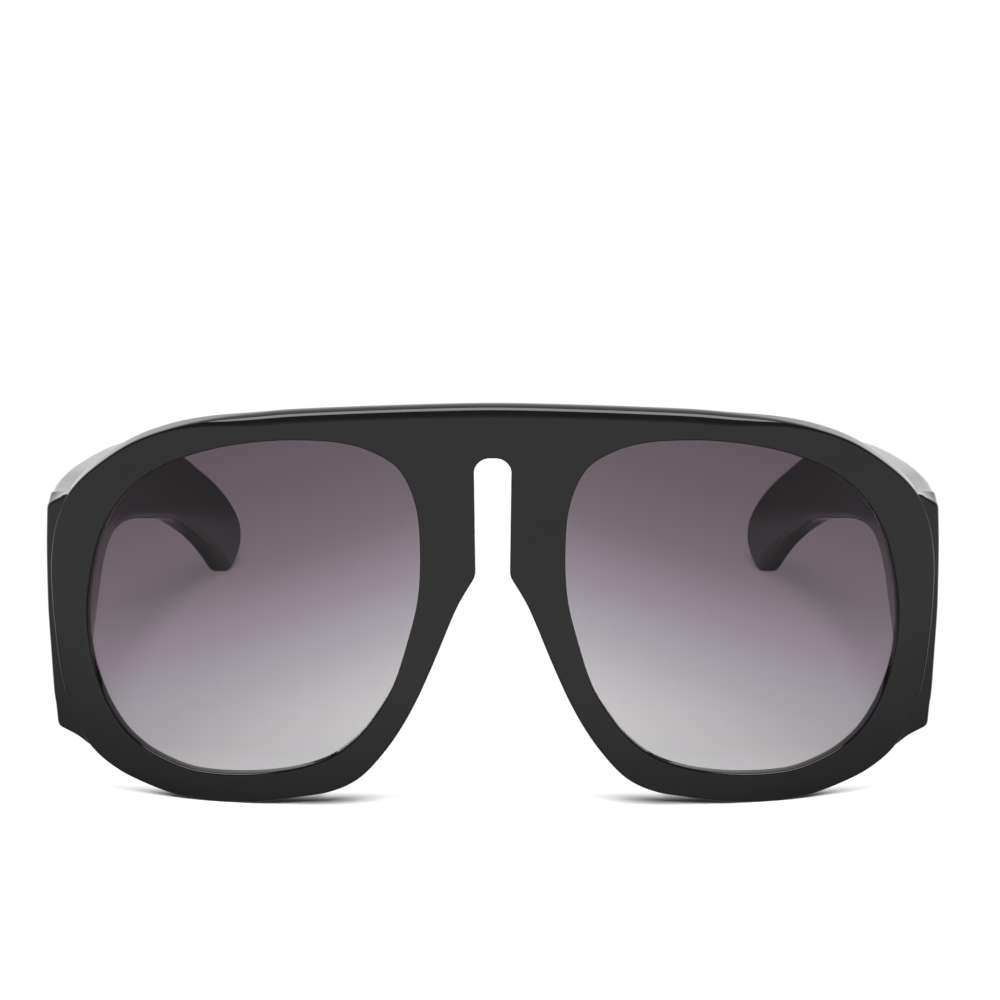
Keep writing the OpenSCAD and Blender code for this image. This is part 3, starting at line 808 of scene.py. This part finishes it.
def table_paper():
    """White paper that the key light shines on and that keeps the shadows near the glasses, with
    plain white painted over them further off. The gloss of the acetate sees painted tones instead:
    painted shade in front, where the glasses would shade it, painted brighter paper behind the
    front, and painted shade between the temples' tips."""
    material, tree, shader = material_with("table_paper", Roughness=0.9, Specular_IOR_Level=0.0)

    def math(operation, a, b=0.0, c=0.0):
        return add_node(tree, "ShaderNodeMath", {0: a, 1: b, 2: c}, operation=operation).outputs[0]

    def step(value, start, end):
        """0 before start and 1 after end, with a smooth step between."""
        return add_node(tree, "ShaderNodeMapRange", {
            "Value": value, "From Min": start, "From Max": end},
            interpolation_type="SMOOTHSTEP").outputs["Result"]

    place = add_node(tree, "ShaderNodeTexCoord").outputs["Object"]
    axes = add_node(tree, "ShaderNodeSeparateXYZ", {"Vector": place}).outputs
    away = add_node(tree, "ShaderNodeVectorMath", {0: place}, operation="LENGTH").outputs["Value"]
    aside = math("ABSOLUTE", axes["X"])
    behind = math("SUBTRACT", axes["Y"], float(front_y))
    curve = math("MULTIPLY", math("MULTIPLY", aside, aside), -0.25 / base_radius)
    near = step(math("ADD", behind, curve), behind_from, behind_to)
    gap_limit = math("MAXIMUM", *(math("MULTIPLY_ADD", behind, k, start) for start, k in gap_lines))
    gap = step(math("SUBTRACT", gap_limit, aside), -limit_blur, limit_blur)
    limit = math("MINIMUM", *(math("MULTIPLY_ADD", behind, k, start) for start, k in outside_lines))
    outside = step(math("SUBTRACT", aside, limit), -limit_blur, limit_blur)
    # Painted light: where and how much plain white covers the shadows on the paper
    share = math("MAXIMUM", math("MAXIMUM", gap, outside), painted_out_share)
    white = math("MAXIMUM", math("MULTIPLY", near, share), step(away, white_from, white_to))
    plain = add_node(tree, "ShaderNodeEmission", {"Strength": plain_white})
    seen = add_node(tree, "ShaderNodeMixShader", {
        0: white, 1: shader.outputs["BSDF"], 2: plain.outputs["Emission"]})
    along = add_node(tree, "ShaderNodeMapRange", {
        "Value": behind, "From Min": gloss_near, "From Max": gloss_far}).outputs["Result"]
    span = gloss_far - gloss_near
    stops = [((distance * MM - gloss_near) / span, value) for distance, value in painted_gloss_stops]
    tone = ramp(tree, along, greys(stops))
    # Painted shade and highlight: an emission that the gloss sees in place of the paper
    painted_gloss_tone = add_node(tree, "ShaderNodeEmission", {"Strength": tone})
    # Painted shade: the paper is darker in gloss between the temples' tips
    tips_shade_mask = math("MULTIPLY", step(behind, tips_shade_from - tips_shade_blur, tips_shade_from),
                math("SUBTRACT", 1.0, step(behind, tips_shade_to, tips_shade_to + tips_shade_blur)))
    camera_ray = add_node(tree, "ShaderNodeLightPath").outputs["Is Camera Ray"]
    shade = math("MULTIPLY", tips_shade_mask, math("SUBTRACT", 1.0, camera_ray))
    tree.links.new(math("MULTIPLY_ADD", shade, tips_shade_tone - paper_white, paper_white),
                   shader.inputs["Base Color"])
    under = math("SUBTRACT", step(behind, under_from, under_to), step(behind, under_end, under_gone))
    lit = math("MULTIPLY", under, math("SUBTRACT", 1.0, outside))
    reflected = add_node(tree, "ShaderNodeMixShader", {
        0: lit, 1: painted_gloss_tone.outputs["Emission"], 2: shader.outputs["BSDF"]})
    both = add_node(tree, "ShaderNodeMixShader", {
        0: camera_ray, 1: reflected.outputs["Shader"], 2: seen.outputs["Shader"]})
    tree.links.new(both.outputs["Shader"], tree.nodes["Material Output"].inputs["Surface"])
    return material


bpy.ops.mesh.primitive_plane_add(size=table_size, location=(0, 0, 0))
table = bpy.context.object
table.name = "table_top"
table.data.materials.append(table_paper())


def area_lamp(name, width, depth, watts, place, turn):
    """A rectangular soft lamp that the camera doesn't see."""
    data = bpy.data.lights.new(name, "AREA")
    data.shape = "RECTANGLE"
    data.size, data.size_y = width, depth
    data.energy = watts
    lamp = bpy.data.objects.new(name, data)
    lamp.location = place
    lamp.rotation_euler = turn
    lamp.visible_camera = False
    bpy.context.scene.collection.objects.link(lamp)
    return lamp


# The strip overhead draws the light line along the brow; the key lamp in front lights the table
strip = area_lamp("overhead", lamp_width, lamp_depth, lamp_watts, lamp_place, (0, 0, 0))
strip.visible_diffuse = False
key = area_lamp("key", key_width, key_depth, key_watts, key_place,
                (-np.arctan2(key_place[1], key_place[2]), 0, 0))
key.visible_glossy = False


def studio_walls():
    """The room as the gloss sees it: dark in front of the glasses but for the walls' feet, pale
    overhead behind them and palest low down at the back. The camera sees plain white."""
    world = bpy.data.worlds.new("studio")
    bpy.context.scene.world = world
    world.use_nodes = True
    tree = world.node_tree
    way = add_node(tree, "ShaderNodeTexCoord").outputs["Generated"]
    axes = add_node(tree, "ShaderNodeSeparateXYZ", {"Vector": way}).outputs
    back = ramp(tree, axes["Y"], greys(back_stops))
    foot = ramp(tree, axes["Z"], greys(foot_stops))
    tone = add_node(tree, "ShaderNodeMath", {0: back, 1: foot}, operation="MAXIMUM")
    dim = tree.nodes["Background"]
    dim.inputs["Color"].default_value = (1, 1, 1, 1)
    tree.links.new(tone.outputs[0], dim.inputs["Strength"])
    bright = add_node(tree, "ShaderNodeBackground", {"Color": (1, 1, 1, 1), "Strength": 1.0})
    soft = add_node(tree, "ShaderNodeBackground", {"Color": (1, 1, 1, 1), "Strength": wall_dark})
    rays = add_node(tree, "ShaderNodeLightPath").outputs
    inside = add_node(tree, "ShaderNodeMixShader", {
        0: rays["Is Glossy Ray"], 1: soft.outputs["Background"], 2: dim.outputs["Background"]})
    either = add_node(tree, "ShaderNodeMixShader", {
        0: rays["Is Camera Ray"], 1: inside.outputs["Shader"], 2: bright.outputs["Background"]})
    tree.links.new(either.outputs["Shader"], tree.nodes["World Output"].inputs["Surface"])


studio_walls()

# The camera: its place in front of the front's foremost line and over the table, and a long lens
camera_x = 1.17 * MM
camera_distance = 588 * MM
camera_height = 217.19 * MM
camera_down = np.radians(15.633)
focal_pixels = 3834.6
picture_pixels = 1000
sensor_width = 36.0
camera_data = bpy.data.cameras.new("camera")
camera_data.sensor_width = sensor_width
camera_data.lens = focal_pixels / picture_pixels * sensor_width
camera_data.clip_start = 0.01
camera = bpy.data.objects.new("camera", camera_data)
camera.location = (camera_x, front_y - camera_distance, camera_height)
camera.rotation_euler = (np.pi / 2 - camera_down, 0, 0)
bpy.context.scene.collection.objects.link(camera)
bpy.context.scene.camera = camera
bpy.context.scene.view_settings.view_transform = "Standard"
